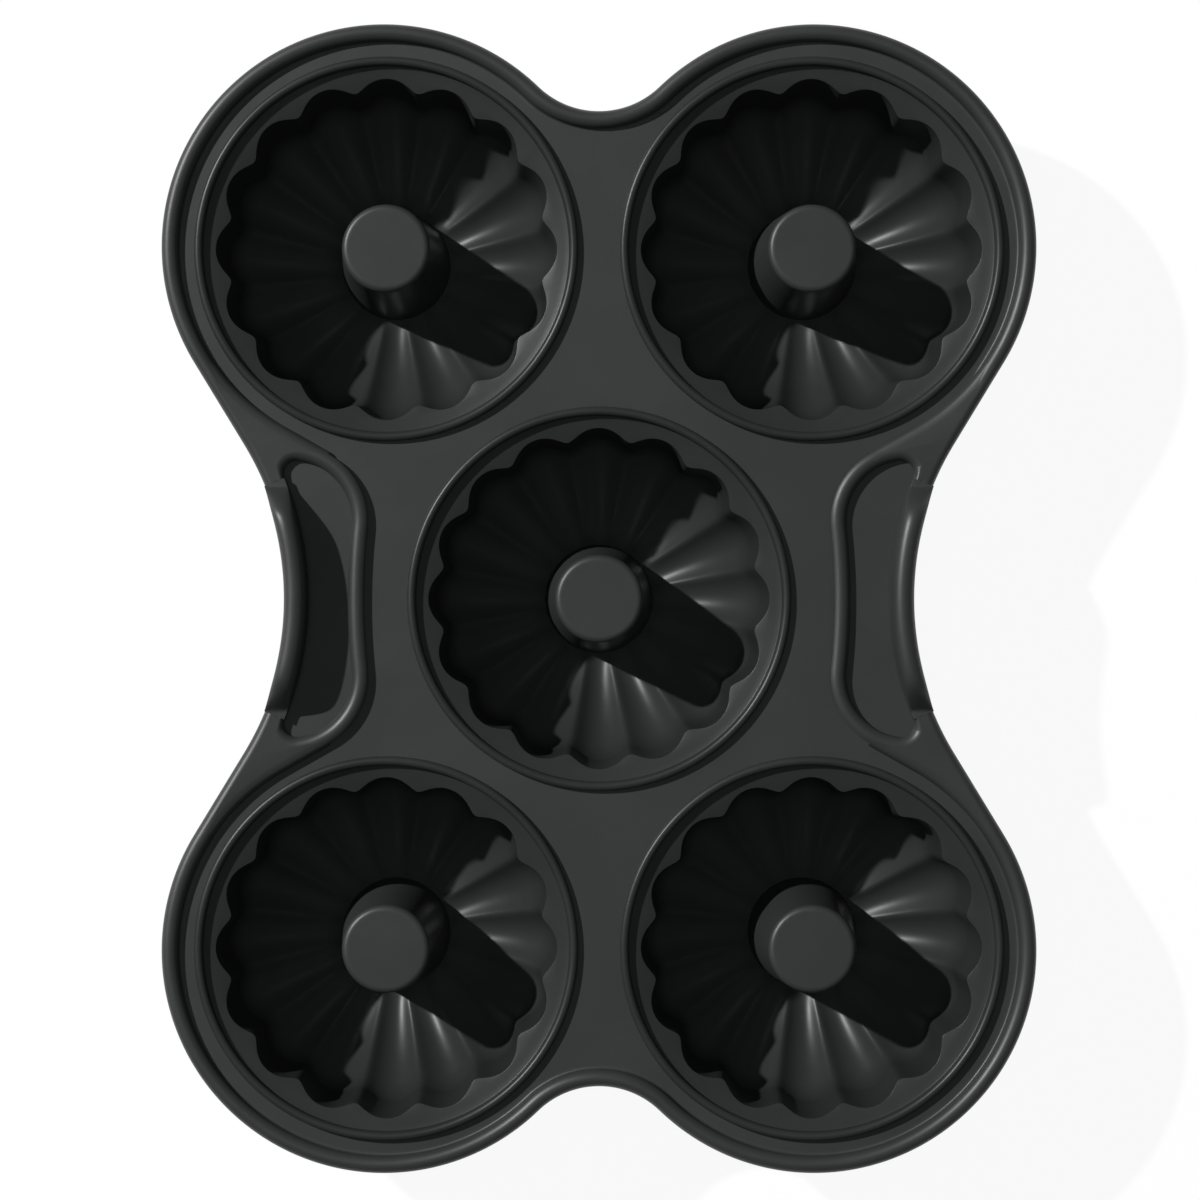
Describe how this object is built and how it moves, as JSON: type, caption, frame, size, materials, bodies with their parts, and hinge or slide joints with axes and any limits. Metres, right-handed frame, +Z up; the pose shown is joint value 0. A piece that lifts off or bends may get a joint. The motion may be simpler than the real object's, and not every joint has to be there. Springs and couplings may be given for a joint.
{
  "type": "fluted ring-cake baking pan",
  "caption": "Non-stick baking pan with fluted ring cups seamed into a lobed tray, hollow centre posts, a rolled wired rim and raised handle lips at the waist.",
  "frame": {"origin": "centre of the pan's outline, on the plane the foot rings stand on", "axes": "+X to the right and +Y to the back as in the picture seen from above, +Z up"},
  "size_m": [0.2362, 0.3102, 0.0579],
  "materials": {
    "nonstick_coating": "dark charcoal satin non-stick coating baked on pressed steel",
    "bare_wire": "plain drawn steel wire, hidden in the rolled rim"
  },
  "bodies": {
    "root": {"tray_frame": "nonstick_coating", "rim_wire": "bare_wire", "left_handle_grip": "nonstick_coating", "right_handle_grip": "nonstick_coating", "cup_back_left": "nonstick_coating", "cup_back_right": "nonstick_coating", "cup_centre": "nonstick_coating", "cup_front_left": "nonstick_coating", "cup_front_right": "nonstick_coating", "centre_tube_back_left": "nonstick_coating", "centre_tube_back_right": "nonstick_coating", "centre_tube_centre": "nonstick_coating", "centre_tube_front_left": "nonstick_coating", "centre_tube_front_right": "nonstick_coating"}
  },
  "joints": []
}
